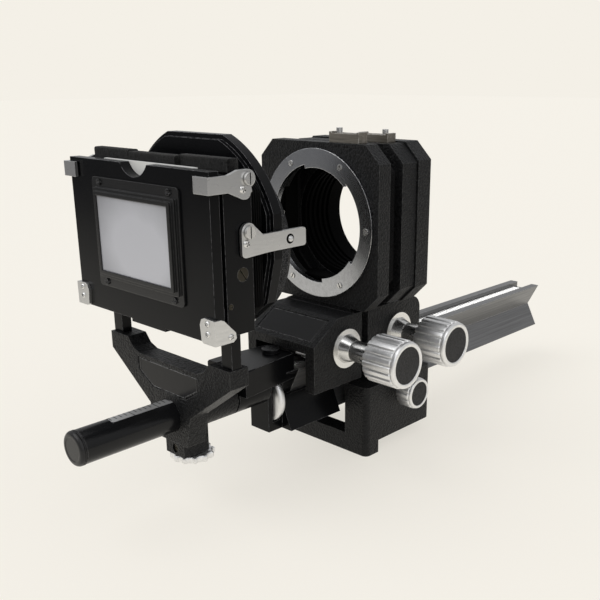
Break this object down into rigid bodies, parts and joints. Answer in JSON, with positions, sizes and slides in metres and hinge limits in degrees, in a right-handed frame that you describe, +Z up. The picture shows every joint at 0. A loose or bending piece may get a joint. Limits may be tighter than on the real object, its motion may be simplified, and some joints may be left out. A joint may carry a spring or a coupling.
{
  "type": "slide duplicator",
  "caption": "Slide copier stage with an opal window on a clamp rod, ahead of a short bellows unit with two standards, focusing knobs and a dovetail rail on a foot.",
  "frame": {"origin": "mouth of the tripod socket, level with the table the foot stands on", "axes": "+Z up, +Y back along the optical axis towards the camera, +X towards the focusing knobs"},
  "size_m": [0.0925, 0.2854, 0.1364],
  "materials": {
    "wrinkle_enamel": "black wrinkle enamel on castings",
    "satin_enamel": "satin black enamel on flat plates",
    "black_anodised": "black anodised, satin",
    "rail_alloy": "grey anodised, drawn",
    "knob_alloy": "satin, turned",
    "coupler_alloy": "warm silver, matt",
    "scale_alloy": "matt, engraved",
    "ring_chrome": "satin chrome",
    "sheet_steel": "brushed sheet",
    "screw_steel": "turned, nickel plated",
    "bronzed_steel": "browned",
    "brass_bush": "turned",
    "black_insert": "matt leatherette disc",
    "black_bakelite": "satin moulded",
    "opal_sheet": "opal, translucent white",
    "slide_plastic": "white slide mount",
    "film_base": "brown film",
    "felt_pad": "black felt",
    "bellows_cloth": "black bellows cloth",
    "matt_black": "dead matt black"
  },
  "bodies": {
    "foot": {"foot_casting": "wrinkle_enamel", "tripod_bush": "brass_bush"},
    "foot_clamp": {"foot_clamp_knob": "knob_alloy", "foot_clamp_insert": "black_insert"},
    "rail": {"rail": "rail_alloy", "rail_rack": "screw_steel", "copier_block": "satin_enamel", "block_boss": "black_anodised", "copier_rod": "black_anodised", "rod_end_cap": "black_bakelite", "rod_scale": "scale_alloy"},
    "thumbwheel": {"clamp_thumbwheel": "knob_alloy"},
    "yoke": {"yoke_casting": "wrinkle_enamel", "stub_screw": "bronzed_steel", "post_left": "satin_enamel", "post_right": "satin_enamel"},
    "yoke_clamp": {"yoke_clamp_knob": "knob_alloy"},
    "stage": {"stage_body": "satin_enamel", "front_plate": "satin_enamel", "diffuser_frame": "black_bakelite", "opal_diffuser": "opal_sheet", "frame_screws": "black_anodised", "felt_pad": "felt_pad", "side_screws": "bronzed_steel", "latch_pivots": "screw_steel", "arm_pivots": "screw_steel", "corner_brackets": "sheet_steel", "bracket_screws": "screw_steel", "copier_bellows": "bellows_cloth"},
    "slide": {"slide_mount": "slide_plastic", "slide_film": "film_base"},
    "latch_left": {"top_latch_left": "sheet_steel"},
    "latch_right": {"top_latch_right": "sheet_steel"},
    "arm_left": {"retaining_arm_left": "sheet_steel"},
    "arm_right": {"retaining_arm_right": "sheet_steel"},
    "hood": {"hood_plate": "satin_enamel"},
    "hood_ring": {"knurled_ring": "black_anodised"},
    "front_standard": {"front_base": "wrinkle_enamel", "lens_panel": "wrinkle_enamel", "lens_mount_ring": "ring_chrome", "mount_ring_screws": "screw_steel", "front_collar": "screw_steel", "coupler_front": "coupler_alloy", "coupler_pin_front": "screw_steel", "main_bellows": "bellows_cloth"},
    "front_focus": {"front_pinion_shaft": "screw_steel", "front_knob": "knob_alloy", "front_knob_insert": "black_insert"},
    "rear_standard": {"rear_base": "wrinkle_enamel", "rear_frame": "wrinkle_enamel", "baffle_tube": "matt_black", "camera_mount_ring": "ring_chrome", "camera_ring_screws": "screw_steel", "rear_collar": "screw_steel", "coupler_rear": "coupler_alloy", "coupler_pin_rear": "screw_steel"},
    "rear_focus": {"rear_pinion_shaft": "screw_steel", "rear_knob": "knob_alloy", "rear_knob_insert": "black_insert"}
  },
  "joints": [
    {"name": "rail_slide", "type": "slide", "parent": "foot", "child": "rail", "axis": [0, 1, 0], "range_m": [-0.118, 0.009]},
    {"name": "foot_clamp_turn", "type": "hinge", "parent": "foot", "child": "foot_clamp", "pos_m": [0.025, -0.011, 0.0257], "axis": [1, 0, 0], "range_deg": [0, 270]},
    {"name": "thumbwheel_turn", "type": "hinge", "parent": "rail", "child": "thumbwheel", "pos_m": [0, -0.067, 0.0314], "axis": [0, -1, 0], "range_deg": [0, 360]},
    {"name": "yoke_slide", "type": "slide", "parent": "rail", "child": "yoke", "axis": [0, 1, 0], "range_m": [-0.036, 0.0005]},
    {"name": "yoke_clamp_turn", "type": "hinge", "parent": "yoke", "child": "yoke_clamp", "pos_m": [0, -0.10505, 0.024], "axis": [0, 0, -1], "range_deg": [0, 360]},
    {"name": "stage_lift", "type": "slide", "parent": "yoke", "child": "stage", "axis": [0, 0, 1], "range_m": [-0.009, 0.004]},
    {"name": "slide_lift", "type": "slide", "parent": "stage", "child": "slide", "axis": [0, 0, 1], "range_m": [0, 0.025]},
    {"name": "latch_left_swing", "type": "hinge", "parent": "stage", "child": "latch_left", "pos_m": [-0.0389, -0.108, 0.1251], "axis": [1, 0, 0], "range_deg": [-90, 0]},
    {"name": "latch_right_swing", "type": "hinge", "parent": "stage", "child": "latch_right", "pos_m": [0.0389, -0.108, 0.1251], "axis": [1, 0, 0], "range_deg": [-90, 0]},
    {"name": "arm_left_swing", "type": "hinge", "parent": "stage", "child": "arm_left", "pos_m": [-0.0389, -0.1084, 0.1087], "axis": [1, 0, 0], "range_deg": [-80, 0]},
    {"name": "arm_right_swing", "type": "hinge", "parent": "stage", "child": "arm_right", "pos_m": [0.0389, -0.1084, 0.1087], "axis": [1, 0, 0], "range_deg": [-80, 0]},
    {"name": "hood_slide", "type": "slide", "parent": "stage", "child": "hood", "axis": [0, 1, 0], "range_m": [0, 0.024], "deforming": ["copier_bellows"]},
    {"name": "hood_ring_turn", "type": "hinge", "parent": "hood", "child": "hood_ring", "pos_m": [0, -0.086, 0.0978], "axis": [0, 1, 0], "continuous": true},
    {"name": "front_slide", "type": "slide", "parent": "rail", "child": "front_standard", "axis": [0, 1, 0], "range_m": [-0.0015, 0.003]},
    {"name": "front_focus_turn", "type": "hinge", "parent": "front_standard", "child": "front_focus", "pos_m": [0.03, -0.0408, 0.05], "axis": [1, 0, 0], "range_deg": [-25, 15]},
    {"name": "rear_slide", "type": "slide", "parent": "rail", "child": "rear_standard", "axis": [0, 1, 0], "range_m": [0, 0.118], "deforming": ["main_bellows"]},
    {"name": "rear_focus_turn", "type": "hinge", "parent": "rear_standard", "child": "rear_focus", "pos_m": [0.03, -0.0074, 0.05], "axis": [1, 0, 0], "range_deg": [-760, 5]}
  ],
  "couplings": [
    {"joint": "front_focus_turn", "follows": "front_slide", "rad_per_m": -111.11},
    {"joint": "rear_focus_turn", "follows": "rear_slide", "rad_per_m": -111.11}
  ]
}
